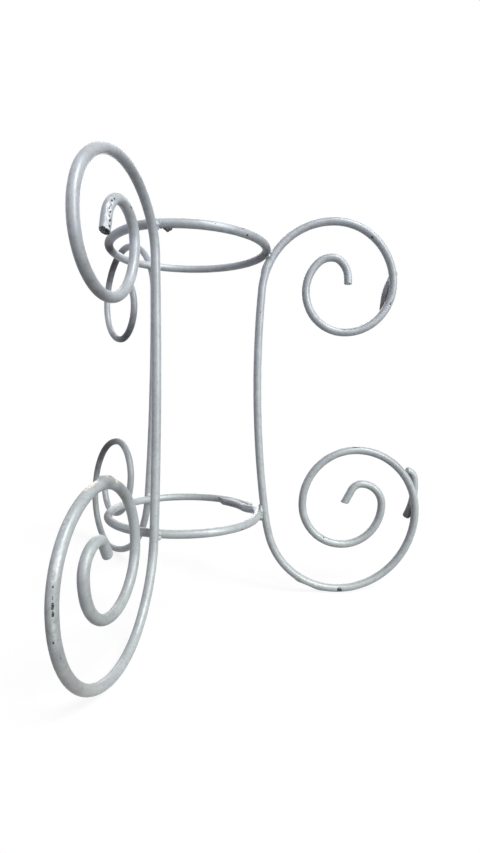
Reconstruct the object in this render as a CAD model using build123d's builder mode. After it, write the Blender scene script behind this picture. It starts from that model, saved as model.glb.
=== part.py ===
from build123d import *
from math import acos, asin, cos, degrees, radians, sin, sqrt, tan
import os

# A plant stand: two pot rings carried by three scrolled legs, all bent cold from one size of
# round bar and welded where the bars touch. Millimetres and degrees.
# The origin is on the floor, on the axis of the rings, +Z is up, and the right leg reaches
# out along +X. Every radius is to the middle of the bar.

# --- the bar ---
BAR = 8.0  # diameter of the round bar
END_CHAMFER = 0.7  # worn edge of each cut end
SEAT_GAP = 0.06  # between two bars where they touch
REACH = BAR + SEAT_GAP  # between the middles of two bars that touch

# --- the upper ring: round where the pot and the legs bear, a little flat to the left ---
UPPER_RING_RADIUS = 80.0
UPPER_RING_HEIGHT = 347.0  # floor to the middle of the bar
RING_CLOSES_AT = 257.0  # where its two ends meet, beside the front left leg
RING_END_GAP = 0.4
FLAT_FROM, FLAT_TO = 131.0, 253.0  # round the axis, the flattened stretch
FLAT_SIDE_RADIUS = 50.0  # of the bend at each side of it
FLAT_SIDE_TURN = 28.0

# --- the lower ring: its ends run past each other on the inside, behind the right leg ---
LOWER_RING_RADIUS = 74.5
LOWER_RING_HEIGHT = 85.4  # floor to the middle of the bar, at the axis
LOWER_RING_TILT = 0.95  # up towards the back
LAP_START = 1.0  # past the right leg, where the inner end starts to jog inwards
LAP_ANGLE = 40.0  # how far the two ends run side by side
LAP_GAP = 0.4  # between them
JOG_BEND = 16.0  # the two bends of the jog

# --- the legs: three of one pattern, bent by hand, so no two bends are quite the same ---
# azimuth and sway: where the leg stands round the axis, and how far it leans to the side of
# upright from the lower ring up. slope: of the bar over level where it touches the upper
# ring. crown: the bend from there to its top. shoulder: the bend from there down into the
# upright, and lean the upright's angle there. flare: the bend below the lower ring, as
# (radius, turn). upper and lower: the bends of the scrolls, from the crown and from the
# floor inwards. The last stretch of each scroll is straight and has the length of its tail.
RIGHT_LEG = {
    "azimuth": 0.0,
    "sway": 0.0,
    "slope": 60.0,
    "crown": 74.0,
    "upper": [(60.0, 90), (50.0, 90), (40.0, 90), (40.0, 45), (20.6, 45), (13.8, 42), (22.6, 46)],
    "upper_tail": 6.6,
    "shoulder": 80.0,
    "lean": 4.5,
    "flare": (200.0, 7),
    "lower": [(80.5, 90), (65.0, 90), (55.5, 90), (43.0, 90), (41.1, 90), (22.2, 90), (11.3, 61)],
    "lower_tail": 16.0,
}
FRONT_LEFT_LEG = {
    "azimuth": 253.5,
    "sway": 0.0,
    "slope": 55.0,
    "crown": 69.5,
    "upper": [(77.0, 45), (49.5, 45), (43.0, 90), (47.0, 90), (23.5, 90), (24.0, 76)],
    "upper_tail": 11.0,
    "shoulder": 38.5,
    "lean": 3.5,
    "flare": (95.0, 45),
    "lower": [(80.5, 90), (61.0, 90), (55.5, 90), (40.5, 90), (40.6, 90), (18.8, 90), (11.5, 60)],
    "lower_tail": 11.6,
}
BACK_LEFT_LEG = {
    "azimuth": 121.0,
    "sway": 1.55,
    "slope": 60.5,
    "crown": 82.0,
    "upper": [(61.0, 90), (50.5, 90), (36.0, 90), (32.5, 30)],
    "upper_tail": 12.0,
    "shoulder": 52.0,
    "lean": 4.0,
    "flare": (85.0, 57),
    "lower": [(61.5, 90), (78.0, 90), (41.0, 90), (52.5, 90), (31.0, 75)],
    "lower_tail": 8.0,
}
LEGS = {"right": RIGHT_LEG, "back_left": BACK_LEFT_LEG, "front_left": FRONT_LEFT_LEG}

# --- the welds: each bead is a drum with round rims, given as its diameter and its depth ---
BEAD_RIM = 1.5
WELD = (11.5, 7.0)  # at each joint of a leg and a ring, through the place they touch
RING_BEAD = (10.6, 9.0)  # round the upper ring's ends
LAP_BEAD = (7.0, 14.0)  # along the groove on the lower ring's lap
TACK = (8.5, 5.0)  # at each stub

# --- two stubs of the same bar welded across the back of the right leg's scrolls ---
# every place is out and up from the outermost point of the scroll that the stub crosses
UPPER_STUB_FOOT = (-6.7, -27.0)
UPPER_STUB_SLOPE = 84.0
UPPER_STUB_BEND = (40.0, -17)
UPPER_STUB_RUNS = (14.0, 18.0)  # straight, before and after its bend
UPPER_STUB_TACK = (-0.2, 3.4)
LOWER_STUB_FOOT = (-6.8, -8.1)
LOWER_STUB_SLOPE = 60.0
LOWER_STUB_BENDS = [(66.0, 38), (10.0, 75)]
LOWER_STUB_TACK = (-0.5, 7.2)


def round_bar(path, plane):
    """The bar swept along a path of tangent lines and arcs in a plane, its cut ends worn."""
    with BuildPart() as bar:
        with BuildSketch(Plane(origin=path @ 0, x_dir=plane.z_dir, z_dir=path % 0)):
            Circle(BAR / 2)
        sweep(path=path)
        chamfer(bar.faces().filter_by(GeomType.PLANE).edges(), END_CHAMFER)
    return bar.part


def bead(place, diameter, depth, solids):
    """A drum of weld metal with round rims, on a plane and along its z, less what it meets."""
    with BuildPart() as weld:
        with Locations(place):
            Cylinder(diameter / 2, depth)
        fillet(weld.edges().filter_by(GeomType.CIRCLE), BEAD_RIM)
        add(solids, mode=Mode.SUBTRACT)
    return weld.part


def on_joint(plane, point, run):
    """A bead's place at a point of a leg's plane, across the leg's bar, which runs that way."""
    middle = plane.from_local_coords((*point, 0))
    along = plane.x_dir * run[0] + plane.y_dir * run[1]
    return Plane(origin=middle, x_dir=along, z_dir=along.cross(plane.z_dir))


def leg_plane(leg):
    """The plane a leg is bent in: x is out from the axis, y is up, 0 is on the floor."""
    a, sway = radians(leg["azimuth"]), radians(leg["sway"])
    out = Vector(cos(a), sin(a), 0)
    up = Vector(sin(a) * sin(sway), -cos(a) * sin(sway), cos(sway))
    hinge = Vector(0, 0, LOWER_RING_HEIGHT)
    return Plane(origin=hinge - up * LOWER_RING_HEIGHT, x_dir=out, z_dir=out.cross(up))


def up_plane(leg, height):
    """A height over the floor, measured up the leg's own plane."""
    return LOWER_RING_HEIGHT + (height - LOWER_RING_HEIGHT) / cos(radians(leg["sway"]))


def upper_contact(leg):
    """Where the middle of a leg's bar passes the upper ring, touching it from outside."""
    slope = radians(leg["slope"])
    aside = (UPPER_RING_HEIGHT - LOWER_RING_HEIGHT) * sin(radians(leg["sway"]))
    out = sqrt((UPPER_RING_RADIUS + REACH * sin(slope)) ** 2 - aside**2)
    return out, up_plane(leg, UPPER_RING_HEIGHT - REACH * cos(slope))


def lower_contact(leg):
    """Where the middle of a leg's bar passes the lower ring."""
    climb = LOWER_RING_RADIUS * sin(radians(leg["azimuth"])) * tan(radians(LOWER_RING_TILT))
    reach = REACH / cos(radians(leg["lean"] + 3))
    return LOWER_RING_RADIUS + reach, LOWER_RING_HEIGHT + climb


def leg_path(leg):
    """One leg's centre line, from the cut end of the upper scroll to that of the lower one."""
    plane = leg_plane(leg)
    slope = radians(leg["slope"])
    with BuildLine(plane) as line:
        bend = JernArc(upper_contact(leg), (cos(slope), sin(slope)), leg["crown"], -leg["slope"])
        for radius, turn in leg["upper"]:
            bend = JernArc(bend @ 1, bend % 1, radius, -turn)
        Line(bend @ 1, bend @ 1 + bend % 1 * leg["upper_tail"])

        turn = 90 - leg["slope"] - leg["lean"]
        bend = JernArc(upper_contact(leg), (-cos(slope), -sin(slope)), leg["shoulder"], turn)
        bend = TangentArc(bend @ 1, lower_contact(leg), tangent=bend % 1)
        bend = JernArc(bend @ 1, bend % 1, *leg["flare"])
        # the bend down to the floor takes the radius that just sets the bar on it
        turn_left = degrees(asin(-(bend % 1).dot(plane.y_dir)))
        drop = (bend @ 1 - plane.origin).dot(plane.y_dir) - up_plane(leg, BAR / 2)
        bend = JernArc(bend @ 1, bend % 1, drop / (1 - cos(radians(turn_left))), turn_left)
        for radius, turn in leg["lower"]:
            bend = JernArc(bend @ 1, bend % 1, radius, turn)
        Line(bend @ 1, bend @ 1 + bend % 1 * leg["lower_tail"])
    return line.wire()


def upper_ring_path():
    """The upper ring's centre line: most of a circle, and a flatter arc between two bends."""
    half = (FLAT_TO - FLAT_FROM) / 2
    radius_lost = UPPER_RING_RADIUS - FLAT_SIDE_RADIUS
    flat_turn = 2 * (half - FLAT_SIDE_TURN)
    flat_radius = FLAT_SIDE_RADIUS + radius_lost * sin(radians(half)) / sin(radians(flat_turn / 2))
    end_gap = degrees(RING_END_GAP / UPPER_RING_RADIUS)
    with BuildLine(Plane.XY.offset(UPPER_RING_HEIGHT)) as line:
        half_turn = (360 - RING_CLOSES_AT + FLAT_FROM) / 2
        bend = CenterArc((0, 0), UPPER_RING_RADIUS, RING_CLOSES_AT, half_turn)
        bend = JernArc(bend @ 1, bend % 1, UPPER_RING_RADIUS, half_turn)
        bend = JernArc(bend @ 1, bend % 1, FLAT_SIDE_RADIUS, FLAT_SIDE_TURN)
        bend = JernArc(bend @ 1, bend % 1, flat_radius, flat_turn)
        bend = JernArc(bend @ 1, bend % 1, FLAT_SIDE_RADIUS, FLAT_SIDE_TURN)
        JernArc(bend @ 1, bend % 1, UPPER_RING_RADIUS, RING_CLOSES_AT - FLAT_TO - end_gap)
    return line.wire()


# the lower ring's jog is two equal bends of opposite hand: their centres and the ring's own
# form a triangle, which gives the turn of each bend and how far round the ring the jog takes
lap_radius = LOWER_RING_RADIUS - BAR - LAP_GAP
to_first = LOWER_RING_RADIUS - JOG_BEND
to_second = lap_radius + JOG_BEND
apart = 2 * JOG_BEND
jog_span = degrees(acos((to_first**2 + to_second**2 - apart**2) / (2 * to_first * to_second)))
jog_in = 180 - degrees(acos((to_first**2 + apart**2 - to_second**2) / (2 * to_first * apart)))
outer_end = LAP_START + jog_span + 1
lower_ring_plane = Plane.XY.offset(LOWER_RING_HEIGHT).rotated((LOWER_RING_TILT, 0, 0))


def lower_ring_path():
    """The lower ring's centre line: round from its outer end, then in and past that end."""
    with BuildLine(lower_ring_plane) as line:
        half_turn = (360 + LAP_START - outer_end) / 2
        bend = CenterArc((0, 0), LOWER_RING_RADIUS, outer_end, half_turn)
        bend = JernArc(bend @ 1, bend % 1, LOWER_RING_RADIUS, half_turn)
        bend = JernArc(bend @ 1, bend % 1, JOG_BEND, jog_in)
        bend = JernArc(bend @ 1, bend % 1, JOG_BEND, jog_span - jog_in)
        JernArc(bend @ 1, bend % 1, lap_radius, LAP_ANGLE)
    return line.wire()


def finish(part, name):
    """Label a finished piece and write it."""
    part.label = name
    export_step(part, f"parts/{name}.step")
    print(f"{name:24s} {len(part.solids())} solid  {part.volume / 1000:8.2f} cm3")
    return part


os.makedirs("parts", exist_ok=True)
upper_ring = finish(round_bar(upper_ring_path(), Plane.XY), "upper_ring")
lower_ring = finish(round_bar(lower_ring_path(), lower_ring_plane), "lower_ring")

# --- the legs, and the two welds of each: a bead in the corners round the place it touches ---
bars = {}
upper_welds = {}
for side, leg in LEGS.items():
    plane = leg_plane(leg)
    bars[side] = finish(round_bar(leg_path(leg), plane), f"{side}_leg")
    out, up = upper_contact(leg)
    run = cos(radians(leg["slope"])), sin(radians(leg["slope"]))
    middle = out - run[1] * REACH / 2, up + run[0] * REACH / 2
    upper_welds[side] = bead(on_joint(plane, middle, run), *WELD, [upper_ring, bars[side]])
    finish(upper_welds[side], f"{side}_upper_weld")
    out, up = lower_contact(leg)
    place = on_joint(plane, (out - REACH / 2, up), (0, 1))
    finish(bead(place, *WELD, [lower_ring, bars[side]]), f"{side}_lower_weld")

# --- the bead round the upper ring's ends, low on the bar, run into the front left weld ---
a = radians(RING_CLOSES_AT)
middle = Vector(cos(a), sin(a), 0) * UPPER_RING_RADIUS + Vector(0, 0, UPPER_RING_HEIGHT - BAR / 12)
closing = Plane(origin=middle, x_dir=(0, 0, 1), z_dir=(-sin(a), cos(a), 0))
against = [upper_ring, bars["front_left"], upper_welds["front_left"]]
finish(bead(closing, *RING_BEAD, against), "upper_ring_weld")

# --- the bead on top of the lower ring's lap, in the groove between its two ends ---
a = radians(outer_end + LAP_ANGLE / 2)
groove = (LOWER_RING_RADIUS + lap_radius) / 2
middle = lower_ring_plane.from_local_coords((groove * cos(a), groove * sin(a), BAR / 3))
on_lap = Plane(origin=middle, x_dir=(0, 0, 1), z_dir=(-sin(a), cos(a), 0))
finish(bead(on_lap, *LAP_BEAD, [lower_ring]), "lower_ring_weld")

# --- the stubs, one bar behind the right leg, and their tacks ---
right_plane = leg_plane(RIGHT_LEG)
behind = right_plane.offset(-REACH)
half_way = (UPPER_RING_HEIGHT + LOWER_RING_HEIGHT) / 2
bend_ends = leg_path(RIGHT_LEG).vertices()
upper_side = max((v for v in bend_ends if v.Z > half_way), key=lambda v: v.X)
lower_side = max((v for v in bend_ends if v.Z < half_way), key=lambda v: v.X)


def beside(side, place):
    """A place in the right leg's plane, out and up from the side of a scroll."""
    return side.X + place[0], side.Z + place[1]


with BuildLine(behind) as upper_stub_path:
    first_run, last_run = UPPER_STUB_RUNS
    run = PolarLine(beside(upper_side, UPPER_STUB_FOOT), first_run, UPPER_STUB_SLOPE)
    bend = JernArc(run @ 1, run % 1, *UPPER_STUB_BEND)
    Line(bend @ 1, bend @ 1 + bend % 1 * last_run)
upper_stub = finish(round_bar(upper_stub_path.wire(), behind), "upper_stub")

with BuildLine(behind) as lower_stub_path:
    slope = radians(LOWER_STUB_SLOPE)
    (radius, turn), (tip_radius, tip_turn) = LOWER_STUB_BENDS
    foot = beside(lower_side, LOWER_STUB_FOOT)
    bend = JernArc(foot, (cos(slope), sin(slope)), radius, turn)
    JernArc(bend @ 1, bend % 1, tip_radius, tip_turn)
lower_stub = finish(round_bar(lower_stub_path.wire(), behind), "lower_stub")

for name, point, stub in (
    ("upper_stub_weld", beside(upper_side, UPPER_STUB_TACK), upper_stub),
    ("lower_stub_weld", beside(lower_side, LOWER_STUB_TACK), lower_stub),
):
    middle = right_plane.from_local_coords((*point, -REACH / 2))
    place = Plane(origin=middle, x_dir=(1, 0, 0), z_dir=right_plane.z_dir)
    finish(bead(place, *TACK, [bars["right"], stub]), name)
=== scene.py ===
from math import acos, asin, atan2, cos, degrees, hypot, pi, radians, sin, sqrt, tan

import bmesh
import bpy
import numpy as np
from mathutils import Matrix, Vector


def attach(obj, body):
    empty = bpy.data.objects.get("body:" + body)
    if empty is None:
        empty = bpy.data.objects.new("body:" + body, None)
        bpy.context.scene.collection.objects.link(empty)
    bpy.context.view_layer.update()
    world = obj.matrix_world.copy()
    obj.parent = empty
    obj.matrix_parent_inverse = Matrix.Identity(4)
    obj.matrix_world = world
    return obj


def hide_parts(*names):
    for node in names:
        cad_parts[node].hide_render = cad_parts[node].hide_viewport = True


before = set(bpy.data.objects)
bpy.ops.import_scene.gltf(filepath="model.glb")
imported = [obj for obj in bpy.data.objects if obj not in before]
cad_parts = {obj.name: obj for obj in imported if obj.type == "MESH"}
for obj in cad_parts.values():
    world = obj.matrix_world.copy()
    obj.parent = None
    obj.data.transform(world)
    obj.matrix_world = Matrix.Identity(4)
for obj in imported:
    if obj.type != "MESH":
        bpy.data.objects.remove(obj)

scene = bpy.context.scene


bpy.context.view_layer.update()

# ------------------------------------------------------------------------- upper ring
# The hoop that the pot hangs in: 8 mm round steel bar rolled cold, its two ends brought
# together beside the front left leg. It was pulled a little flat on its left side. Like the
# whole stand it is brushed over with aluminium paint.

MM = 0.001
BAR = 8.0 * MM
END_ROUNDS = (1.1 * MM, 1.1 * MM)  # the edges of its cut ends, worn round
ROUND_STEPS = np.array([0, 0.06, 0.16, 0.3, 0.5, 0.75, 1.0])  # rings of faces over such an edge
ROUND_ROOM = 1.2  # times such an edge, where there are no other rings of faces
BAR_FACETS = 44
STATION = 0.75 * MM  # between the rings of faces along a bar
WAVE_HEIGHT = 0.22 * MM  # of the brushed coat
WAVE_LENGTH = 9.0 * MM


class Bend:
    """A bar's middle line in its own plane: where it has got to, and which way it heads."""

    def __init__(self, start, heading):
        self.at = np.array(start, float)
        self.heading = radians(heading)
        self.line = [self.at]

    def curve(self, radius, turn):
        """Bend through turn degrees, left if positive, at a radius in metres."""
        turn = radians(turn)
        steps = max(2, int(abs(turn) * radius / STATION))
        side = np.sign(turn)
        left = np.array([-sin(self.heading), cos(self.heading)])
        centre = self.at + left * side * radius
        for k in range(1, steps + 1):
            angle = self.heading + turn * k / steps
            self.line.append(centre - side * radius * np.array([-sin(angle), cos(angle)]))
        self.at = self.line[-1]
        self.heading += turn
        return self

    def straight(self, length):
        """Carry on along the heading."""
        way = np.array([cos(self.heading), sin(self.heading)])
        steps = max(2, int(length / STATION))
        self.line += [self.at + way * length * k / steps for k in range(1, steps + 1)]
        self.at = self.line[-1]
        return self

    def curve_to(self, point):
        """One bend that leaves along the heading and ends at a point."""
        chord = np.array(point) - self.at
        off = atan2(chord[1], chord[0]) - self.heading
        off = (off + pi) % (2 * pi) - pi
        return self.curve(abs(hypot(*chord) / (2 * sin(off))), degrees(2 * off))


class Plane:
    """A flat place that a bar is bent in: its origin, its two directions and its normal."""

    def __init__(self, origin, x, y):
        self.origin, self.x, self.y = (np.array(v, float) for v in (origin, x, y))
        self.normal = np.cross(self.x, self.y)

    def place(self, points):
        """Where places in the plane lie in the stand's frame."""
        points = np.array(points, float)
        return self.origin + points[..., :1] * self.x + points[..., 1:2] * self.y

    def offset(self, distance):
        """The plane moved along its normal."""
        return Plane(self.origin + self.normal * distance, self.x, self.y)


def add_node(tree, kind, links=None, **settings):
    """Add a node to a tree, with its settings, and its inputs linked or set by name or number."""
    node = tree.nodes.new(kind)
    for name, value in settings.items():
        setattr(node, name, value)
    for name, value in (links or {}).items():
        socket = node.inputs[name]
        if isinstance(value, bpy.types.NodeSocket):
            tree.links.new(value, socket)
        else:
            socket.default_value = value
    return node


def rolled_bar_tree():
    """Geometry nodes that roll a round bar along a line and give its skin the faint waves of
    thick brushed paint. The line carries girth, the bar's girth at each point as a share."""
    tree = bpy.data.node_groups.new("rolled_bar", "GeometryNodeTree")
    face = tree.interface
    face.new_socket("Geometry", in_out="OUTPUT", socket_type="NodeSocketGeometry")
    face.new_socket("Geometry", in_out="INPUT", socket_type="NodeSocketGeometry")
    for name, kind in (
        ("Diameter", "NodeSocketFloat"),
        ("Facets", "NodeSocketInt"),
        ("Wave height", "NodeSocketFloat"),
        ("Wave length", "NodeSocketFloat"),
        ("Seed", "NodeSocketFloat"),
        ("Material", "NodeSocketMaterial"),
    ):
        face.new_socket(name, in_out="INPUT", socket_type=kind)
    given = add_node(tree, "NodeGroupInput").outputs
    half = add_node(tree, "ShaderNodeMath", {0: given["Diameter"], 1: 0.5}, operation="MULTIPLY")
    section = add_node(
        tree,
        "GeometryNodeCurvePrimitiveCircle",
        {"Resolution": given["Facets"], "Radius": half.outputs[0]},
    )
    line = add_node(tree, "GeometryNodeMeshToCurve", {"Mesh": given["Geometry"]})
    girth = add_node(tree, "GeometryNodeInputNamedAttribute", {"Name": "girth"}, data_type="FLOAT")
    skin = add_node(
        tree,
        "GeometryNodeCurveToMesh",
        {
            "Curve": line.outputs[0],
            "Profile Curve": section.outputs[0],
            "Scale": girth.outputs[0],
            "Fill Caps": True,
        },
    )
    per_metre = add_node(
        tree, "ShaderNodeMath", {0: 1.0, 1: given["Wave length"]}, operation="DIVIDE"
    )
    wave = add_node(
        tree,
        "ShaderNodeTexNoise",
        {"W": given["Seed"], "Scale": per_metre.outputs[0], "Detail": 2.0, "Roughness": 0.45},
        noise_dimensions="4D",
    )
    around_zero = add_node(
        tree, "ShaderNodeMath", {0: wave.outputs[0], 1: 0.5}, operation="SUBTRACT"
    )
    lift = add_node(
        tree,
        "ShaderNodeMath",
        {0: around_zero.outputs[0], 1: given["Wave height"]},
        operation="MULTIPLY",
    )
    normal = add_node(tree, "GeometryNodeInputNormal")
    push = add_node(
        tree,
        "ShaderNodeVectorMath",
        {0: normal.outputs[0], "Scale": lift.outputs[0]},
        operation="SCALE",
    )
    moved = add_node(
        tree, "GeometryNodeSetPosition", {"Geometry": skin.outputs[0], "Offset": push.outputs[0]}
    )
    smooth = add_node(tree, "GeometryNodeSetShadeSmooth", {"Geometry": moved.outputs[0]})
    real = add_node(tree, "GeometryNodeRealizeInstances", {"Geometry": smooth.outputs[0]})
    painted = add_node(
        tree,
        "GeometryNodeSetMaterial",
        {"Geometry": real.outputs[0], "Material": given["Material"]},
    )
    add_node(tree, "NodeGroupOutput", {"Geometry": painted.outputs[0]})
    return tree


def made_by(tree, mesh, name, **sizes):
    """A new object of the plain mesh that a tree makes of a mesh, with its inputs by name."""
    source = bpy.data.objects.new(name + "_line", mesh)
    scene.collection.objects.link(source)
    grown = source.modifiers.new("grown", "NODES")
    grown.node_group = tree
    for socket in tree.interface.items_tree:
        if socket.in_out == "INPUT" and socket.name in sizes:
            grown[socket.identifier] = sizes[socket.name]
    ready = source.evaluated_get(bpy.context.evaluated_depsgraph_get())
    made = bpy.data.objects.new(name, bpy.data.meshes.new_from_object(ready))
    scene.collection.objects.link(made)
    source.modifiers.remove(grown)
    bpy.data.objects.remove(source)
    return made


ROLLED_BAR = rolled_bar_tree()


def rolled_bar(name, points, normal, seed, marks=(), slants=((0, 0), (0, 0)), rounds=END_ROUNDS):
    """A painted round bar along a line of points in a plane of that normal. slants are how
    far its first and last cut are off square, in degrees, and towards which clock angle.
    rounds are how far back from each cut its edge is worn round."""
    along = np.r_[0, np.cumsum(np.linalg.norm(np.diff(points, axis=0), axis=1))]
    total = along[-1]
    first, last = rounds
    inner = along[(along > first * ROUND_ROOM) & (along < total - last * ROUND_ROOM)]
    stations = np.r_[ROUND_STEPS * first, inner, total - ROUND_STEPS[::-1] * last]
    line = np.stack([np.interp(stations, along, points[:, k]) for k in range(3)], 1)
    girth = np.ones(len(stations))
    for edge, reach in ((first - stations, first), (stations - total + last, last)):
        edge = np.clip(edge, 0, reach)
        girth -= (reach - np.sqrt(reach**2 - edge**2)) / (BAR / 2)
    mesh = bpy.data.meshes.new(name)
    mesh.from_pydata(line.tolist(), [(k, k + 1) for k in range(len(line) - 1)], [])
    mesh.attributes.new("girth", "FLOAT", "POINT").data.foreach_set("value", girth)
    bar = made_by(
        ROLLED_BAR,
        mesh,
        name,
        **{
            "Diameter": BAR,
            "Facets": BAR_FACETS,
            "Wave height": WAVE_HEIGHT,
            "Wave length": WAVE_LENGTH,
            "Seed": float(seed),
            "Material": bar_paint,
        },
    )
    wear(bar, line, stations, np.array(normal), marks, slants)
    return bar


# A mark on a bar is its kind, how far it lies from the bar's first end (mm), its clock angle
# (0 is left of the bar's heading in its plane, and 90 is along the plane's normal), half its
# length and half its width (mm), and how far the skin moves out there (mm). A ridge has no
# more to it, and a flat is hammered to that much under the round. A soft mark leaves the skin
# as it is and ends in its strength.
# A thin mark darkens and dulls the paint: thin paint, and painted shade where it is laid all round a
# stretch of bar.
MARK_KINDS = ("bare", "scuff", "lime", "stain_and_shade", "thin_coat_and_shade")  # those that the paint shows
SOFT_KINDS = ("lime", "stain_and_shade", "thin_coat_and_shade")
MARK_FADE = 1.6  # times its size, how far a mark reaches
FLAT_FADE = 1.5  # the same for a flat
FLAT_FACE = 0.6  # the cosine of how far round the bar a flat can reach
BLOW_DEPTH, BLOW_RATE, BLOW_TWIST = 0.3, 900, 5  # of the hammer, one blow every 7 mm
SLANT_REACH = 10.0 * MM  # of bar that a slanted cut draws out


def wear(bar, line, stations, normal, marks, slants):
    """Work the marks and the cuts into a bar. Its skin keeps way, its place unrolled, and one
    attribute for each kind of mark."""
    mesh = bar.data
    count = len(mesh.vertices)
    where = np.empty(count * 3)
    mesh.vertices.foreach_get("co", where)
    where = where.reshape(-1, 3)
    station = np.minimum(np.arange(count) // BAR_FACETS, len(line) - 1)
    heading = np.gradient(line, axis=0)
    heading /= np.linalg.norm(heading, axis=1)[:, None]
    side = np.cross(normal, heading)
    off = where - line[station]
    clock = np.arctan2(off @ normal, (off * side[station]).sum(1))
    run = stations[station]
    way = np.stack([np.cos(clock) * BAR / 2, np.sin(clock) * BAR / 2, run], 1)
    fields = {kind: np.zeros(count) for kind in MARK_KINDS}
    size = np.linalg.norm(off, axis=1)
    out = off / np.maximum(size, 1e-6)[:, None]
    for kind, mark_run, mark_clock, half_length, half_width, rise in marks:
        turned = (clock - radians(mark_clock) + pi) % (2 * pi) - pi
        lengthwise = (run - mark_run * MM) / (half_length * MM)
        if kind == "flat":
            fade = np.clip(FLAT_FADE - np.abs(lengthwise), 0, 1)
            blows = 1 + BLOW_DEPTH * np.sin(run * BLOW_RATE + turned * BLOW_TWIST)
            low = BAR / 2 - rise * MM * fade * blows
            facing = np.cos(turned)
            limit = np.where(facing > FLAT_FACE, low / np.maximum(facing, FLAT_FACE), BAR)
            where += out * np.minimum(limit - size, 0)[:, None]
            continue
        far = np.hypot(lengthwise, turned * BAR / 2 / (half_width * MM))
        depth = np.clip(MARK_FADE - far, 0, MARK_FADE) / MARK_FADE
        if kind in SOFT_KINDS:
            fields[kind] = np.maximum(fields[kind], depth * rise)
            continue
        if kind in fields:
            fields[kind] = np.maximum(fields[kind], depth)
        swell = np.clip(depth * MARK_FADE, 0, 1)
        where += out * (swell * swell * (3 - 2 * swell) * rise * MM)[:, None]
    for end, ahead, (slant, towards) in ((0, -1, slants[0]), (stations[-1], 1, slants[1])):
        near = np.clip(1 - np.abs(run - end) / SLANT_REACH, 0, 1)
        lean = tan(radians(slant)) * size * np.cos(clock - radians(towards))
        where += heading[station] * (ahead * lean * near)[:, None]
    mesh.vertices.foreach_set("co", where.ravel())
    mesh.attributes.new("way", "FLOAT_VECTOR", "POINT").data.foreach_set("vector", way.ravel())
    for kind, field in fields.items():
        mesh.attributes.new(kind, "FLOAT", "POINT").data.foreach_set("value", field)
    mesh.update()


def paint_colour(code):
    """An sRGB hex colour as linear RGBA."""
    shares = [int(code[k : k + 2], 16) / 255 for k in (1, 3, 5)]
    return [s / 12.92 if s <= 0.04045 else ((s + 0.055) / 1.055) ** 2.4 for s in shares] + [1.0]


PAINT = paint_colour("#B9C0C6")
GROUND_TINT_PAINT = paint_colour("#B7BEBD")  # near the ground it is a little greener: a painted reflection of the ground
GROUND_TINT_FULL_BELOW, GROUND_TINT_GONE_ABOVE = 0.08, 0.30  # metres
SCUFFED = paint_colour("#EEF1F2")
LIME = paint_colour("#E9E6D6")  # left by hard water from the pot
# the brown of real stains, also laid as painted shade on the stubs and at the foot of the front left
# leg's lower scroll
STAIN_AND_SHADE = paint_colour("#877B74")
# the dark tone of the thin marks: thin paint, and painted shade
THIN_COAT_AND_SHADE = paint_colour("#5A565A")
BARE_STEEL = paint_colour("#2B3033")
RUST = paint_colour("#423A35")
# the drifts of tone in the coat: size (mm), where they start and are full, share and colour
PAINT_DRIFTS = (
    (26.0, 0.35, 0.65, 0.7, paint_colour("#A9AEB2")),  # where the brush carried less paint
    (4.5, 0.48, 0.72, 0.42, paint_colour("#94989A")),  # chalked by the weather
    (1.6, 0.45, 0.72, 0.30, paint_colour("#D3D8DB")),  # crests that the flakes lie flat on
)
PAINT_METAL = 0.15
PAINT_RIM = 0.2  # a weathered binder shines less at the edge of a bar than a fresh one
STROKE_WIDTH = 2.5  # mm: bristles are finer, but too fine to see
STROKE_LENGTH = 20.0  # times its width
SMOOTHER, ROUGHER = 0.04, 0.05  # what a stroke takes off the coat's roughness, and adds
# what the marks do: how coarse (mm) and how strong their ragged edge, where it starts, ends
WORN_EDGES = (
    ("thin_coat_and_shade", 9.0, 0.8, 0.0, 1.0),
    ("stain_and_shade", 6.0, 2.0, 0.1, 0.9),
    ("scuff", 2.2, 3.5, 0.40, 0.90),
    ("lime", 1.8, 4.0, 0.25, 0.55),
    ("bare", 1.3, 3.0, 0.40, 0.60),
)
SPECKS_APART = 12.0  # mm
SPECK_FULL, SPECK_END = 0.02, 0.05  # of that, from a speck's middle
LIFTED_PATCH = 45.0  # mm across, where the coat has started to lift
LIFTED_FROM, LIFTED_TO = 0.56, 0.60
RUST_GRAIN = 2.0  # mm
DULL_ROUGHNESS, DULL_METAL = 0.7, 0.05  # where the coat is thin or gone, and under painted shade
CHIP_STEP = -1.5  # down from the coat, in its own strokes' heights
STROKE_HEIGHT = 0.08 * MM


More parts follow.
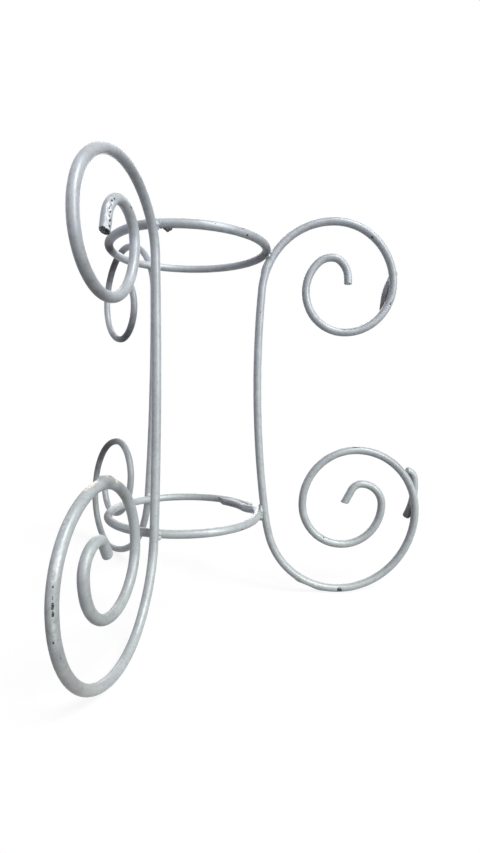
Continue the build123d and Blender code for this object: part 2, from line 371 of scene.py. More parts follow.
def aluminium_paint(name, gloss, unrolled):
    """Aluminium paint brushed over steel, some years outdoors: leafing flakes in a binder, so
    it is a soft grey with a broad satin sheen. Brush strokes run along the bar, thin places
    are dark and dull, and chips show the steel. The thin marks also carry painted shade,
    where a stretch of bar is darkened all round. Unrolled, it follows the bar's own way."""
    material = bpy.data.materials.new(name)
    material.use_nodes = True
    tree = material.node_tree
    tree.nodes.clear()
    seat = add_node(tree, "ShaderNodeTexCoord").outputs["Object"]
    height = add_node(tree, "ShaderNodeSeparateXYZ", {0: seat}).outputs["Z"]
    # painted reflection: the paint turns a little greener towards the ground
    clear_of_ground = add_node(tree, "ShaderNodeMapRange", {"Value": height, 1: GROUND_TINT_FULL_BELOW, 2: GROUND_TINT_GONE_ABOVE})
    tone = add_node(
        tree, "ShaderNodeMix", {0: clear_of_ground.outputs[0], 6: GROUND_TINT_PAINT, 7: PAINT}, data_type="RGBA"
    ).outputs[2]
    for size, low, high, most, colour in PAINT_DRIFTS:
        drift = add_node(
            tree,
            "ShaderNodeTexNoise",
            {"Vector": seat, "Scale": 1000.0 / size, "Detail": 3.0, "Roughness": 0.58},
        )
        share = add_node(
            tree,
            "ShaderNodeMapRange",
            {"Value": drift.outputs[0], "From Min": low, "From Max": high, "To Max": most},
            interpolation_type="SMOOTHSTEP",
        )
        tone = add_node(
            tree, "ShaderNodeMix", {0: share.outputs[0], 6: tone, 7: colour}, data_type="RGBA"
        ).outputs[2]

    # brush strokes along the bar
    way = seat
    if unrolled:
        way = add_node(tree, "ShaderNodeAttribute", attribute_name="way").outputs["Vector"]
    drawn = add_node(
        tree, "ShaderNodeMapping", {"Vector": way, "Scale": (1.0, 1.0, 1.0 / STROKE_LENGTH)}
    )
    stroke = add_node(
        tree,
        "ShaderNodeTexNoise",
        {
            "Vector": drawn.outputs[0],
            "Scale": 1000.0 / STROKE_WIDTH,
            "Detail": 2.0,
            "Roughness": 0.5,
        },
    )
    dulled = add_node(
        tree,
        "ShaderNodeMapRange",
        {
            "Value": stroke.outputs[0],
            "From Min": 0.3,
            "From Max": 0.7,
            "To Min": gloss - SMOOTHER,
            "To Max": gloss + ROUGHER,
        },
    )

    # each kind of mark, with a ragged edge
    worn = {}
    for kind, grain, ragged, low, high in WORN_EDGES:
        amount = add_node(tree, "ShaderNodeAttribute", attribute_name=kind).outputs["Fac"]
        edge = add_node(
            tree,
            "ShaderNodeTexNoise",
            {"Vector": seat, "Scale": 1000.0 / grain, "Detail": 3.0, "Roughness": 0.65},
        )
        edge = add_node(tree, "ShaderNodeMath", {0: edge.outputs[0], 1: 0.5}, operation="SUBTRACT")
        edge = add_node(
            tree, "ShaderNodeMath", {0: edge.outputs[0], 1: amount}, operation="MULTIPLY"
        )
        edge = add_node(
            tree,
            "ShaderNodeMath",
            {0: edge.outputs[0], 1: ragged, 2: amount},
            operation="MULTIPLY_ADD",
        )
        worn[kind] = add_node(
            tree,
            "ShaderNodeMapRange",
            {"Value": edge.outputs[0], "From Min": low, "From Max": high},
            interpolation_type="SMOOTHSTEP",
        ).outputs[0]

    # specks of rust about 1 mm across, where the coat has started to lift
    speck = add_node(
        tree, "ShaderNodeTexVoronoi", {"Vector": seat, "Scale": 1000.0 / SPECKS_APART}
    )
    speck = add_node(
        tree,
        "ShaderNodeMapRange",
        {
            "Value": speck.outputs["Distance"],
            "From Min": SPECK_FULL,
            "From Max": SPECK_END,
            "To Min": 1.0,
            "To Max": 0.0,
        },
    )
    lifting = add_node(
        tree, "ShaderNodeTexNoise", {"Vector": seat, "Scale": 1000.0 / LIFTED_PATCH, "Detail": 1.0}
    )
    lifting = add_node(
        tree,
        "ShaderNodeMapRange",
        {"Value": lifting.outputs[0], "From Min": LIFTED_FROM, "From Max": LIFTED_TO},
    )
    speck = add_node(
        tree, "ShaderNodeMath", {0: speck.outputs[0], 1: lifting.outputs[0]}, operation="MULTIPLY"
    )
    broken = add_node(
        tree, "ShaderNodeMath", {0: speck.outputs[0], 1: worn["bare"]}, operation="MAXIMUM"
    ).outputs[0]
    rusted = add_node(tree, "ShaderNodeTexNoise", {"Vector": seat, "Scale": 1000.0 / RUST_GRAIN})
    rusted = add_node(
        tree, "ShaderNodeMapRange", {"Value": rusted.outputs[0], "From Min": 0.5, "From Max": 0.7}
    )
    steel = add_node(
        tree,
        "ShaderNodeMix",
        {0: rusted.outputs[0], 6: BARE_STEEL, 7: RUST},
        data_type="RGBA",
    ).outputs[2]
    # the tones of the marks, each with the most that it covers, the deepest wear last
    for share, most, colour in (
        (worn["thin_coat_and_shade"], 0.9, THIN_COAT_AND_SHADE),
        (worn["stain_and_shade"], 0.7, STAIN_AND_SHADE),
        (worn["scuff"], 0.35, SCUFFED),
        (worn["lime"], 0.85, LIME),
        (broken, 1.0, steel),
    ):
        share = add_node(tree, "ShaderNodeMath", {0: share, 1: most}, operation="MULTIPLY")
        tone = add_node(
            tree, "ShaderNodeMix", {0: share.outputs[0], 6: tone, 7: colour}, data_type="RGBA"
        ).outputs[2]
    dull = add_node(tree, "ShaderNodeMath", {0: broken, 1: worn["thin_coat_and_shade"]}, operation="MAXIMUM")
    rough = add_node(
        tree,
        "ShaderNodeMix",
        {0: dull.outputs[0], 2: dulled.outputs[0], 3: DULL_ROUGHNESS},
        data_type="FLOAT",
    )
    metal = add_node(
        tree,
        "ShaderNodeMix",
        {0: dull.outputs[0], 2: PAINT_METAL, 3: DULL_METAL},
        data_type="FLOAT",
    )
    relief = add_node(
        tree,
        "ShaderNodeMath",
        {0: broken, 1: CHIP_STEP, 2: stroke.outputs[0]},
        operation="MULTIPLY_ADD",
    )
    bump = add_node(
        tree,
        "ShaderNodeBump",
        {"Height": relief.outputs[0], "Strength": 0.2, "Distance": STROKE_HEIGHT},
    )
    skin = add_node(
        tree,
        "ShaderNodeBsdfPrincipled",
        {
            "Base Color": tone,
            "Specular IOR Level": PAINT_RIM,
            "Metallic": metal.outputs[0],
            "Roughness": rough.outputs[0],
            "Normal": bump.outputs[0],
        },
    )
    add_node(tree, "ShaderNodeOutputMaterial", {"Surface": skin.outputs[0]})
    return material


bar_paint = aluminium_paint("brushed_aluminium_paint", 0.36, True)

UPPER_RING_RADIUS = 80.0 * MM
UPPER_RING_HEIGHT = 347.0 * MM
RING_CLOSES_AT = 257.0
RING_END_GAP = 0.4 * MM
FLAT_FROM, FLAT_TO = 131.0, 253.0  # round the ring
FLAT_SIDE_RADIUS = 50.0 * MM  # of the tighter bend at each side of the flat
FLAT_SIDE_TURN = 28.0  # degrees, as every turn is


def place(piece, *nodes, slot="silver_paint"):
    """A finished piece stands for its nodes and moves with the stand."""
    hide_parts(*nodes)
    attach(piece, "root")


half = (FLAT_TO - FLAT_FROM) / 2
flat_turn = 2 * (half - FLAT_SIDE_TURN)
flat_share = sin(radians(half)) / sin(radians(flat_turn / 2))
flat_radius = FLAT_SIDE_RADIUS + (UPPER_RING_RADIUS - FLAT_SIDE_RADIUS) * flat_share
end_gap = degrees(RING_END_GAP / UPPER_RING_RADIUS)
closing = radians(RING_CLOSES_AT)
upper_line = Bend(
    (UPPER_RING_RADIUS * cos(closing), UPPER_RING_RADIUS * sin(closing)), RING_CLOSES_AT + 90
)
upper_line.curve(UPPER_RING_RADIUS, 360 - RING_CLOSES_AT + FLAT_FROM)
upper_line.curve(FLAT_SIDE_RADIUS, FLAT_SIDE_TURN)
upper_line.curve(flat_radius, flat_turn)
upper_line.curve(FLAT_SIDE_RADIUS, FLAT_SIDE_TURN)
upper_line.curve(UPPER_RING_RADIUS, RING_CLOSES_AT - FLAT_TO - end_gap)
upper_plane = Plane((0, 0, UPPER_RING_HEIGHT), (1, 0, 0), (0, 1, 0))
UPPER_RING_MARKS = [
    ("bare", 71.4, 151, 1.6, 1.0, -0.15),
    ("bare", 76.7, 218, 1.4, 1.0, -0.15),
    ("bare", 44.5, 165, 1.0, 0.5, -0.1),
    # painted shade: these thin marks darken the ring all round at its two sides, where it lies in
    # shade
    ("thin_coat_and_shade", 142.0, 0, 48.0, 60.0, 0.7),
    ("thin_coat_and_shade", 400.0, 0, 24.0, 60.0, 1.0),
]
upper_ring = rolled_bar(
    "upper_ring_bar", upper_plane.place(upper_line.line), upper_plane.normal, 1, UPPER_RING_MARKS
)
place(upper_ring, "upper_ring")

# ------------------------------------------------------------------------- lower ring
# The smaller hoop that steadies the pot's foot: the same bar, closed by running one end past
# the other on the inside, just beyond the right leg. It hangs a little lower at the front.

LOWER_RING_RADIUS = 74.5 * MM
LOWER_RING_HEIGHT = 85.4 * MM
LOWER_RING_TILT = 0.95  # up towards the back
LAP_START = 1.0  # past the right leg, where the inner end starts to jog inwards
LAP_ANGLE = 40.0  # how far the two ends run side by side
LAP_GAP = 0.4 * MM  # between them
LAP_MOUTH = 1.0  # degrees from the jog to the cut of the outer end
LAP_CUT_BACK = 9  # steps of the line, for the thin end of its last cut
JOG_BEND = 16.0 * MM  # the two bends of the jog

# The jog is two equal bends of opposite hand. Their centres and the ring's own form a
# triangle, which gives the turn of each bend and how far round the ring the jog takes.
lap_radius = LOWER_RING_RADIUS - BAR - LAP_GAP
to_first = LOWER_RING_RADIUS - JOG_BEND
to_second = lap_radius + JOG_BEND
apart = 2 * JOG_BEND
jog_span = degrees(acos((to_first**2 + to_second**2 - apart**2) / (2 * to_first * to_second)))
jog_in = 180 - degrees(acos((to_first**2 + apart**2 - to_second**2) / (2 * to_first * apart)))
outer_end = LAP_START + jog_span + LAP_MOUTH
lower_line = Bend(
    (LOWER_RING_RADIUS * cos(radians(outer_end)), LOWER_RING_RADIUS * sin(radians(outer_end))),
    outer_end + 90,
)
lower_line.curve(LOWER_RING_RADIUS, 360 + LAP_START - outer_end)
lower_line.curve(JOG_BEND, jog_in)
lower_line.curve(JOG_BEND, jog_span - jog_in)
lower_line.curve(lap_radius, LAP_ANGLE)
tilt = radians(LOWER_RING_TILT)
lower_plane = Plane((0, 0, LOWER_RING_HEIGHT), (1, 0, 0), (0, cos(tilt), sin(tilt)))
LOWER_RING_MARKS = [
    ("bare", 383.2, 219, 2.0, 1.0, -0.15),
    ("stain_and_shade", 292.0, 125, 12.0, 5.0, 0.6),
    # painted shade: these two thin marks darken the ring's left side, all round and along its inner
    # side
    ("thin_coat_and_shade", 235.0, 330, 20.0, 8.0, 0.6),
    ("thin_coat_and_shade", 226.0, 0, 28.0, 60.0, 0.7),
    ("thin_coat_and_shade", 487.0, 345, 26.0, 4.5, 0.5),
    ("thin_coat_and_shade", 506.0, 0, 9.0, 60.0, 0.45),
    ("stain_and_shade", 487.0, 20, 26.0, 5.0, 0.45),
]
LOWER_RING_SLANTS = ((0, 0), (60, 160))

lower_ring = rolled_bar(
    "lower_ring_bar",
    lower_plane.place(lower_line.line[:-LAP_CUT_BACK]),
    lower_plane.normal,
    2,
    LOWER_RING_MARKS,
    LOWER_RING_SLANTS,
)
place(lower_ring, "lower_ring")

# ------------------------------------------------------------------------------- legs
# Three legs of one pattern, each a single bar: a scroll curls out and down at the top, the
# upright bears on both rings from outside, and a larger scroll below stands on the floor.
# They were bent by hand round a peg, so no two bends are quite the same.

SEAT_GAP = 0.06 * MM  # between two bars where they touch
REACH = BAR + SEAT_GAP  # between the middles of two bars that touch
SEAT_LEAN = 3  # degrees more than its lean, where a leg passes the lower ring
# azimuth and sway: where the leg stands round the axis, and how far it leans to the side of
# upright from the lower ring up. slope: of the bar over level where it touches the upper
# ring. crown: the bend from there to its top. shoulder: the bend from there down into the
# upright, and lean the upright's angle there. flare: the bend below the lower ring, as
# radius and turn. upper and lower: the bends of the scrolls, from the crown and from the
# floor inwards, each ending in a straight tail. Lengths are in mm.
LEG_BENDS = {
    "right": {
        "azimuth": 0.0,
        "sway": 0.0,
        "slope": 60.0,
        "crown": 74.0,
        "upper": [(60.0, 90), (50.0, 90), (40.0, 90), (40.0, 45), (20.6, 45), (13.8, 42), (22.6, 46)],
        "upper_tail": 6.6,
        "shoulder": 80.0,
        "lean": 4.5,
        "flare": (200.0, 7),
        "lower": [(80.5, 90), (65.0, 90), (55.5, 90), (43.0, 90), (41.1, 90), (22.2, 90), (11.3, 61)],
        "lower_tail": 16.0,
    },
    "front_left": {
        "azimuth": 253.5,
        "sway": 0.0,
        "slope": 55.0,
        "crown": 69.5,
        "upper": [(77.0, 45), (49.5, 45), (43.0, 90), (47.0, 90), (23.5, 90), (24.0, 76)],
        "upper_tail": 11.0,
        "shoulder": 38.5,
        "lean": 3.5,
        "flare": (95.0, 45),
        "lower": [(80.5, 90), (61.0, 90), (55.5, 90), (40.5, 90), (40.6, 90), (18.8, 90), (11.5, 60)],
        "lower_tail": 11.6,
    },
    "back_left": {
        "azimuth": 121.0,
        "sway": 1.55,
        "slope": 60.5,
        "crown": 82.0,
        "upper": [(61.0, 90), (50.5, 90), (36.0, 90), (32.5, 30)],
        "upper_tail": 12.0,
        "shoulder": 52.0,
        "lean": 4.0,
        "flare": (85.0, 57),
        "lower": [(61.5, 90), (78.0, 90), (41.0, 90), (52.5, 90), (31.0, 75)],
        "lower_tail": 8.0,
    },
}
LEG_MARKS = {
    "right": [
        ("bare", 1014.7, 131, 2.2, 1.0, -0.15),
        ("bare", 1088.7, 78, 2.0, 1.1, -0.15),
        ("bare", 1137.5, 128, 5.0, 0.5, -0.1),
        ("bare", 1147.5, 130, 5.0, 0.5, -0.1),
        ("bare", 510.5, 80, 3.0, 2.6, -0.3),
        ("bare", 280.0, 34, 6.0, 0.6, -0.1),
        ("bare", 150.3, 126, 1.2, 0.8, -0.1),
        ("bare", 838.8, 90, 1.1, 0.6, -0.1),
        ("ridge", 884.0, 10, 6.0, 4.5, 1.0),
        ("stain_and_shade", 1050.0, 90, 30.0, 3.0, 0.4),
        ("stain_and_shade", 330.0, 60, 20.0, 3.0, 0.6),
        ("ridge", 554.1, 330, 4.0, 3.0, 0.7),
        ("ridge", 531.2, 340, 5.0, 3.0, 0.5),
        ("ridge", 543.2, 340, 5.0, 3.0, -0.6),
        ("ridge", 147.2, 100, 3.0, 4.0, 0.4),
    ],
    "front_left": [
        ("bare", 1206.6, 265, 1.6, 0.8, -0.1),
        ("bare", 349.5, 330, 1.0, 0.5, -0.1),
        ("bare", 355.4, 326, 1.6, 0.5, -0.1),
        ("bare", 359.6, 323, 2.4, 1.0, -0.2),
        ("bare", 364.0, 321, 2.0, 0.8, -0.15),
        ("bare", 380.4, 335, 1.0, 0.6, -0.1),
        ("bare", 392.0, 300, 1.4, 0.4, -0.1),
        ("bare", 262.0, 330, 1.6, 0.7, -0.1),
        ("bare", 257.5, 322, 1.0, 0.6, -0.1),
        ("scuff", 340.0, 330, 13.0, 2.4, 0.0),
        ("scuff", 372.0, 319, 10.0, 1.7, 0.0),
        # painted shade: these thin marks darken stretches of the two scrolls all round, where they
        # lie in shade
        ("thin_coat_and_shade", 392.0, 0, 40.0, 60.0, 0.35),
        ("thin_coat_and_shade", 90.0, 0, 60.0, 60.0, 0.35),
        ("thin_coat_and_shade", 240.0, 0, 25.0, 60.0, 0.45),
        ("thin_coat_and_shade", 268.0, 0, 12.0, 60.0, 0.35),
        ("thin_coat_and_shade", 371.0, 0, 26.0, 60.0, 0.43),
        ("thin_coat_and_shade", 920.0, 0, 40.0, 60.0, 0.3),
        ("thin_coat_and_shade", 1090.0, 0, 36.0, 60.0, 0.45),
        ("lime", 281.0, 12, 8.0, 2.6, 1.0),
        ("lime", 252.5, 300, 4.5, 2.0, 0.6),
        ("ridge", 263.0, 345, 7.0, 4.5, 2.0),
        ("scuff", 313.0, 10, 9.0, 2.0, 0.0),
        ("stain_and_shade", 255.0, 320, 14.0, 4.0, 0.7),
        ("stain_and_shade", 281.0, 10, 10.0, 3.0, 0.8),
        # partly a real stain and partly painted shade: the foot of the lower scroll darkened all
        # round
        ("stain_and_shade", 425.0, 0, 40.0, 60.0, 0.45),
        ("flat", 1248.0, 312, 18.0, 2.0, 0.55),
        ("scuff", 1247.0, 314, 14.0, 1.6, 0.0),
        ("bare", 1233.5, 300, 1.3, 1.1, -0.1),
        ("bare", 1236.5, 311, 1.3, 0.9, -0.1),
        ("bare", 1240.0, 303, 1.0, 0.8, -0.1),
        ("bare", 1242.4, 312, 1.3, 0.8, -0.1),
        ("bare", 1245.4, 296, 1.2, 0.8, -0.1),
        ("bare", 1248.2, 300, 1.1, 0.8, -0.1),
        ("bare", 1251.3, 286, 1.3, 0.9, -0.1),
        ("bare", 1255.4, 283, 1.4, 0.9, -0.1),
        ("bare", 1259.2, 315, 1.6, 30.0, 0.0),
    ],
    "back_left": [
        # painted shade: these thin marks darken the back leg's two scrolls all round, where they lie
        # in shade
        ("thin_coat_and_shade", 235.0, 0, 62.0, 60.0, 0.9),
        ("thin_coat_and_shade", 340.0, 0, 50.0, 60.0, 0.4),
        ("thin_coat_and_shade", 372.0, 0, 22.0, 60.0, 0.45),
        ("thin_coat_and_shade", 950.0, 0, 34.0, 60.0, 0.9),
        ("thin_coat_and_shade", 1058.0, 0, 16.0, 60.0, 0.45),
        ("thin_coat_and_shade", 1100.0, 0, 38.0, 60.0, 0.75),
    ],
}
# how the bars are cut and worn at the inner ends of the lower and the upper scroll
LEG_SLANTS = {
    "right": ((15, 0), (3, 0)),
    "front_left": ((4, 90), (14, 200)),
    "back_left": ((3, 0), (5, 90)),
}
LEG_ROUNDS = {
    "right": END_ROUNDS,
    "front_left": (2.6 * MM, 1.1 * MM),
    "back_left": END_ROUNDS,
}


def scaled(bends):
    """Bends with their radii in metres."""
    return [(radius * MM, turn) for radius, turn in bends]


class Leg:
    """The plane, the line and the two seats of a leg."""

    def __init__(self, bends):
        self.bends = bends
        a, sway = radians(bends["azimuth"]), radians(bends["sway"])
        out = np.array([cos(a), sin(a), 0])
        up = np.array([sin(a) * sin(sway), -cos(a) * sin(sway), cos(sway)])
        hinge = np.array([0, 0, LOWER_RING_HEIGHT])
        self.plane = Plane(hinge - up * LOWER_RING_HEIGHT, out, up)

        # where its middle line passes the two rings, out from the axis and up its own plane
        slope = bends["slope"]
        aside = (UPPER_RING_HEIGHT - LOWER_RING_HEIGHT) * sin(sway)
        seat_out = sqrt((UPPER_RING_RADIUS + REACH * sin(radians(slope))) ** 2 - aside**2)
        self.upper_seat = seat_out, self.up(UPPER_RING_HEIGHT - REACH * cos(radians(slope)))
        climb = LOWER_RING_RADIUS * sin(a) * tan(radians(LOWER_RING_TILT))
        seat_out = LOWER_RING_RADIUS + REACH / cos(radians(bends["lean"] + SEAT_LEAN))
        self.lower_seat = seat_out, LOWER_RING_HEIGHT + climb

        # from the upper ring over the top and in round the upper scroll
        top = Bend(self.upper_seat, slope).curve(bends["crown"] * MM, -slope)
        for radius, turn in scaled(bends["upper"]):
            top.curve(radius, -turn)
        top.straight(bends["upper_tail"] * MM)

        # from the upper ring down past the lower one to the floor, and in round its scroll
        foot = Bend(self.upper_seat, slope + 180)
        foot.curve(bends["shoulder"] * MM, 90 - slope - bends["lean"])
        foot.curve_to(self.lower_seat)
        foot.curve(bends["flare"][0] * MM, bends["flare"][1])
        left = -degrees(asin(sin(foot.heading)))
        drop = foot.at[1] - self.up(BAR / 2)
        foot.curve(drop / (1 - cos(radians(left))), left)
        for radius, turn in scaled(bends["lower"]):
            foot.curve(radius, turn)
        foot.straight(bends["lower_tail"] * MM)
        self.line = self.plane.place(foot.line[::-1] + top.line[1:])

    def up(self, height):
        """A height over the floor, measured up the leg's own plane."""
        sway = radians(self.bends["sway"])
        return LOWER_RING_HEIGHT + (height - LOWER_RING_HEIGHT) / cos(sway)


legs = {side: Leg(bends) for side, bends in LEG_BENDS.items()}
for seed, (side, leg) in enumerate(legs.items(), 3):
    bar = rolled_bar(
        side + "_leg_bar",
        leg.line,
        leg.plane.normal,
        seed,
        LEG_MARKS[side],
        LEG_SLANTS[side],
        LEG_ROUNDS[side],
    )
    place(bar, side + "_leg")

# ------------------------------------------------------------------------------ welds
# Beads of stick weld where the bars touch: drops of molten steel that ran together in the
# corners between two round bars. They were never dressed, only brushed over with the paint.

WELD_GRAIN = 0.3 * MM  # of the remesh that melts the drops together
SETTLE_STEPS = 24
THIN_FADE = 1.2 * MM  # down from where the paint starts to be thin
weld_paint = aluminium_paint("aluminium_paint_over_weld", 0.40, False)


def weld(name, drops, node, thin_below=0.0):
    """A bead of drops, each a place and a radius, that a fine remesh melts together. Less of
    the paint has reached what hangs below a height."""
    shape = bmesh.new()
    for centre, radius in drops:
        bmesh.ops.create_icosphere(
            shape, subdivisions=3, radius=radius, matrix=Matrix.Translation(Vector(centre))
        )
    mesh = bpy.data.meshes.new(name)
    shape.to_mesh(mesh)
    shape.free()
    bead = bpy.data.objects.new(name, mesh)
    scene.collection.objects.link(bead)
    melt = bead.modifiers.new("melt", "REMESH")
    melt.mode = "VOXEL"
    melt.voxel_size = WELD_GRAIN
    settle = bead.modifiers.new("settle", "SMOOTH")
    settle.factor = 0.5
    settle.iterations = SETTLE_STEPS
    ready = bead.evaluated_get(bpy.context.evaluated_depsgraph_get())
    melted = bpy.data.meshes.new_from_object(ready)
    bead.modifiers.clear()
    bead.data = melted
    melted.shade_smooth()
    heights = np.array([vertex.co.z for vertex in melted.vertices])
    thin_coat_and_shade = np.clip((thin_below - heights) / THIN_FADE, 0, 1)
    melted.attributes.new("thin_coat_and_shade", "FLOAT", "POINT").data.foreach_set("value", thin_coat_and_shade)
    melted.materials.clear()
    melted.materials.append(weld_paint)
    place(bead, node, slot="weld_metal")


# half the height of each bead and how fat its drops are (mm)
BEAD_SIZES = {
    "right_upper": (4.2, 2.0),
    "right_lower": (6.5, 2.5),
    "front_left_upper": (3.6, 1.9),
    "front_left_lower": (4.6, 2.2),
    "back_left_upper": (3.6, 2.1),
    "back_left_lower": (4.4, 2.4),
}
BEAD_DROPS = 14  # round the touch, every other one nearer to it
BEAD_INNER = 0.7  # times as far out
BEAD_HALF_WIDTH = 3.5  # mm
BEAD_CORE = 3.0 * MM
BEAD_UNEVEN = 0.2  # radians that a drop strays either way
BEAD_SHARES = (0.8, 1.1)  # of fat
rng = np.random.default_rng(11)
for side, leg in legs.items():
    slope = radians(leg.bends["slope"])
    joints = (
        ("upper", leg.upper_seat, np.array([cos(slope), sin(slope)])),
        ("lower", leg.lower_seat, np.array([0.0, 1.0])),
    )
    for level, seat, run in joints:
        towards = np.array([-run[1], run[0]])
        touch = leg.plane.place(np.array(seat) + towards * REACH / 2)
        run_way = leg.plane.x * run[0] + leg.plane.y * run[1]
        across = leg.plane.normal
        tall, fat = BEAD_SIZES[f"{side}_{level}"]
        drops = [(touch, BEAD_CORE)]
        for k in range(BEAD_DROPS):
            angle = 2 * pi * k / BEAD_DROPS + rng.uniform(-BEAD_UNEVEN, BEAD_UNEVEN)
            share = 1.0 if k % 2 else BEAD_INNER
            out = run_way * cos(angle) * tall + across * sin(angle) * BEAD_HALF_WIDTH
            drops.append((touch + out * share * MM, rng.uniform(*BEAD_SHARES) * fat * MM))
        weld(f"{side}_{level}_bead", drops, f"{side}_{level}_weld")

# a thin collar closes the upper ring's ends, and a drip of metal hangs beside it: how far
# along the ring and below it each of its drops lies, and how big it is (mm)
COLLAR_DROPS = 16
COLLAR_RADIUS = 2.9 * MM
COLLAR_DROP = 1.5 * MM
DRIP = ((3.4, 3.8, 1.7), (5.2, 4.6, 2.1), (5.8, 5.9, 1.6), (8.0, 4.4, 1.9))
COLLAR_THIN_BELOW = UPPER_RING_HEIGHT - 3.2 * MM

ring_end = upper_plane.place(upper_line.line[0])
along_ring = np.array([-sin(closing), cos(closing), 0])
inwards = -np.array([cos(closing), sin(closing), 0])
up = np.array([0, 0, 1])
drops = []
for k in range(COLLAR_DROPS):
    turn = 2 * pi * k / COLLAR_DROPS
    out = inwards * cos(turn) + up * sin(turn)
    drops.append((ring_end + out * COLLAR_RADIUS, COLLAR_DROP))
for along, below, size in DRIP:
    drops.append((ring_end + along_ring * along * MM - up * below * MM, size * MM))
weld("upper_ring_bead", drops, "upper_ring_weld", COLLAR_THIN_BELOW)

# a short run on top of the lower ring's lap, in the groove between its two ends
LAP_DROPS = 8
LAP_DROP_STEP = 1.7 * MM
LAP_DROP_LIFT = 0.24 * BAR
LAP_DROP_SIZES = (1.6, 2.1)  # mm

middle = radians(outer_end + LAP_ANGLE / 2)
groove = (LOWER_RING_RADIUS + lap_radius) / 2
drops = []
for k in range(LAP_DROPS):
    turn = middle + (k - (LAP_DROPS - 1) / 2) * LAP_DROP_STEP / groove
    spot = lower_plane.place((groove * cos(turn), groove * sin(turn)))
    spot = spot + lower_plane.normal * LAP_DROP_LIFT
    drops.append((spot, rng.uniform(*LAP_DROP_SIZES) * MM))
weld("lower_ring_bead", drops, "lower_ring_weld")

# ------------------------------------------------------------------------------ stubs
# Two short pieces of the same bar tacked across the back of the right leg's scrolls. The
# upper one lies along the scroll, and the lower one ends in a small hook.

# places are out from the axis and up from the floor, and bends are a radius and a turn
UPPER_STUB_FOOT = (204.37 * MM, 292.97 * MM)
UPPER_STUB_SLOPE = 84.0
UPPER_STUB_BEND = (40.0 * MM, -17)
UPPER_STUB_RUNS = (14.0 * MM, 18.0 * MM)
UPPER_STUB_TACK = (210.87 * MM, 323.37 * MM)
LOWER_STUB_FOOT = (235.41 * MM, 76.4 * MM)
LOWER_STUB_SLOPE = 60.0
LOWER_STUB_BENDS = [(66.0 * MM, 38), (10.0 * MM, 75)]
LOWER_STUB_TACK = (241.71 * MM, 91.7 * MM)
STUB_MARKS = {
    # painted shade: the thin and stain marks darken the stubs all round, where they lie in shade
    # behind the scrolls
    "upper_stub": [("thin_coat_and_shade", 5.0, 0, 18.0, 60.0, 0.5), ("stain_and_shade", 5.0, 0, 18.0, 60.0, 0.8)],
    "lower_stub": [("thin_coat_and_shade", 0.0, 0, 20.0, 60.0, 0.8), ("thin_coat_and_shade", 55.0, 20, 12.0, 3.0, 0.8)],
}
STUB_ROUNDS = {"upper_stub": (2.8 * MM, 3.6 * MM), "lower_stub": (2.8 * MM, 1.4 * MM)}
TACK_DROPS = 7
TACK_RADIUS = 2.2 * MM
TACK_DROP_SIZES = (1.2, 1.5)  # mm

behind = legs["right"].plane.offset(-REACH)
upper_stub = Bend(UPPER_STUB_FOOT, UPPER_STUB_SLOPE).straight(UPPER_STUB_RUNS[0])
upper_stub.curve(*UPPER_STUB_BEND).straight(UPPER_STUB_RUNS[1])
lower_stub = Bend(LOWER_STUB_FOOT, LOWER_STUB_SLOPE)
for radius, turn in LOWER_STUB_BENDS:
    lower_stub.curve(radius, turn)
for name, stub, tack, seed in (
    ("upper_stub", upper_stub, UPPER_STUB_TACK, 6),
    ("lower_stub", lower_stub, LOWER_STUB_TACK, 7),
):
    points = behind.place(stub.line)
    bar = rolled_bar(
        name + "_bar", points, behind.normal, seed, STUB_MARKS[name], rounds=STUB_ROUNDS[name]
    )
    place(bar, name)
    seat = behind.place(tack) + behind.normal * REACH / 2
    drops = [(seat, TACK_RADIUS)]
    for k in range(TACK_DROPS):
        angle = 2 * pi * k / TACK_DROPS
        spot = seat + np.array([cos(angle), 0, sin(angle)]) * TACK_RADIUS
        drops.append((spot, rng.uniform(*TACK_DROP_SIZES) * MM))
    weld(name + "_bead", drops, name + "_weld")

# -------------------------------------------------------------------- floor and light
# A plain pale studio floor, white where it is seen, and the soft light of a tall window at
# the right in front, a weaker one ahead, a little lavender light from the left, and a broad
# one behind, so that the back isn't left in the dark.

FLOOR_REACH = 12.0
FLOOR_DROP = 0.4 * MM  # under the feet, so that no two faces meet
FLOOR_GLOW = 0.85  # with the lamps on it, this makes it white
WORLD_LIGHT = 0.03  # what the surroundings add to the lamps
# each lamp's azimuth and elevation, its strength, how wide it looks (degrees) and its colour
LAMPS = (
    ("window_low", -45, 15, 1.48, 28, "#FFFFFF"),
    ("window_high", -45, 50, 2.1, 28, "#FFFFFF"),
    ("ahead", -90, 30, 0.42, 40, "#FFFFFF"),
    ("left_fill", 170, 18, 0.42, 40, "#C9C0F4"),
    ("behind", 90, 25, 1.4, 50, "#FFFFFF"),
)


def where_seen(tree):
    """1 for a ray that looks at something, straight or by way of a shiny or a clear face."""
    ray = add_node(tree, "ShaderNodeLightPath").outputs
    seen = ray["Is Camera Ray"]
    for other in ("Is Glossy Ray", "Is Transmission Ray"):
        either = {0: seen, 1: ray[other]}
        seen = add_node(tree, "ShaderNodeMath", either, operation="ADD", use_clamp=True).outputs[0]
    return seen


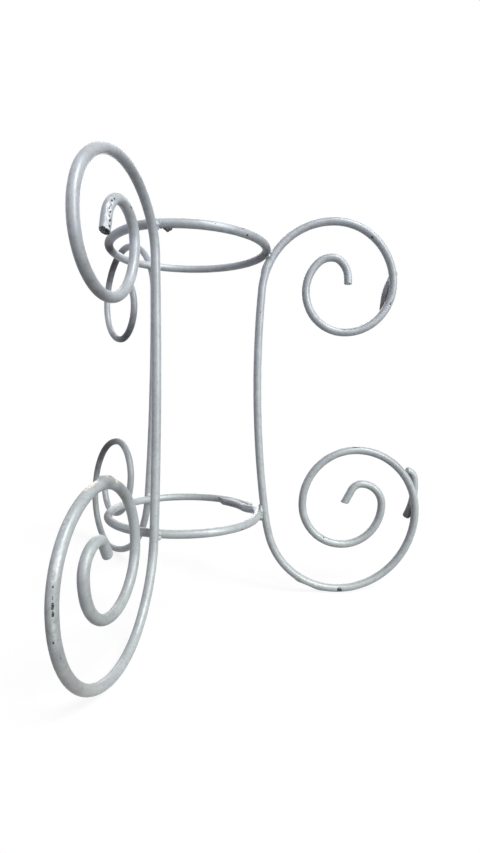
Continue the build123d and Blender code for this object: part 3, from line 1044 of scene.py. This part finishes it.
floor_mesh = bpy.data.meshes.new("studio_floor")
floor_corners = np.array([(-1, -1, 0), (1, -1, 0), (1, 1, 0), (-1, 1, 0)]) * FLOOR_REACH
floor_mesh.from_pydata((floor_corners - (0, 0, FLOOR_DROP)).tolist(), [], [(0, 1, 2, 3)])
floor = bpy.data.objects.new("studio_floor", floor_mesh)
scene.collection.objects.link(floor)
paper = bpy.data.materials.new("studio_paper")
paper.use_nodes = True
tree = paper.node_tree
tree.nodes.clear()
matte = add_node(tree, "ShaderNodeBsdfDiffuse", {"Color": paint_colour("#767676")})
lit = add_node(tree, "ShaderNodeMath", {0: where_seen(tree), 1: FLOOR_GLOW}, operation="MULTIPLY")
white = add_node(tree, "ShaderNodeEmission", {"Strength": lit.outputs[0]})
both = add_node(tree, "ShaderNodeAddShader", {0: matte.outputs[0], 1: white.outputs[0]})
add_node(tree, "ShaderNodeOutputMaterial", {"Surface": both.outputs[0]})
floor_mesh.materials.append(paper)

world = bpy.data.worlds.new("studio")
world.use_nodes = True
scene.world = world
tree = world.node_tree
tree.nodes.clear()
dim = add_node(
    tree, "ShaderNodeBackground", {"Color": paint_colour("#D5D6DF"), "Strength": WORLD_LIGHT}
)
white = add_node(tree, "ShaderNodeBackground", {"Color": (1, 1, 1, 1), "Strength": 1.0})
both = add_node(
    tree, "ShaderNodeMixShader", {0: where_seen(tree), 1: dim.outputs[0], 2: white.outputs[0]}
)
add_node(tree, "ShaderNodeOutputWorld", {"Surface": both.outputs[0]})

for name, azimuth, elevation, strength, spread, colour in LAMPS:
    lamp = bpy.data.lights.new(name, "SUN")
    lamp.energy = strength
    lamp.angle = radians(spread)
    lamp.color = paint_colour(colour)[:3]
    holder = bpy.data.objects.new(name, lamp)
    a, e = radians(azimuth), radians(elevation)
    shines = -Vector((cos(e) * cos(a), cos(e) * sin(a), sin(e)))
    holder.rotation_euler = shines.to_track_quat("-Z", "Y").to_euler()
    scene.collection.objects.link(holder)

# ----------------------------------------------------------------------------- camera
# Half a metre in front of the stand's axis and just over half way up it, looking slightly
# down and to the right. It is so close that the front scrolls look large.

FRAME_WIDE = 480  # pixels
FOCAL_PIXELS = 515.506
CAMERA_AT = (12.254 * MM, -519.027 * MM, 208.357 * MM)
CAMERA_TURN = (86.17599, -0.64564, -4.79965)  # degrees about x, y and z
lens = bpy.data.cameras.new("camera")
lens.sensor_fit = "HORIZONTAL"
lens.sensor_width = 36.0
lens.lens = FOCAL_PIXELS * lens.sensor_width / FRAME_WIDE
lens.clip_start = 0.01
camera = bpy.data.objects.new("camera", lens)
camera.location = CAMERA_AT
camera.rotation_euler = [radians(turn) for turn in CAMERA_TURN]
scene.collection.objects.link(camera)
scene.camera = camera

scene.view_settings.view_transform = "Standard"
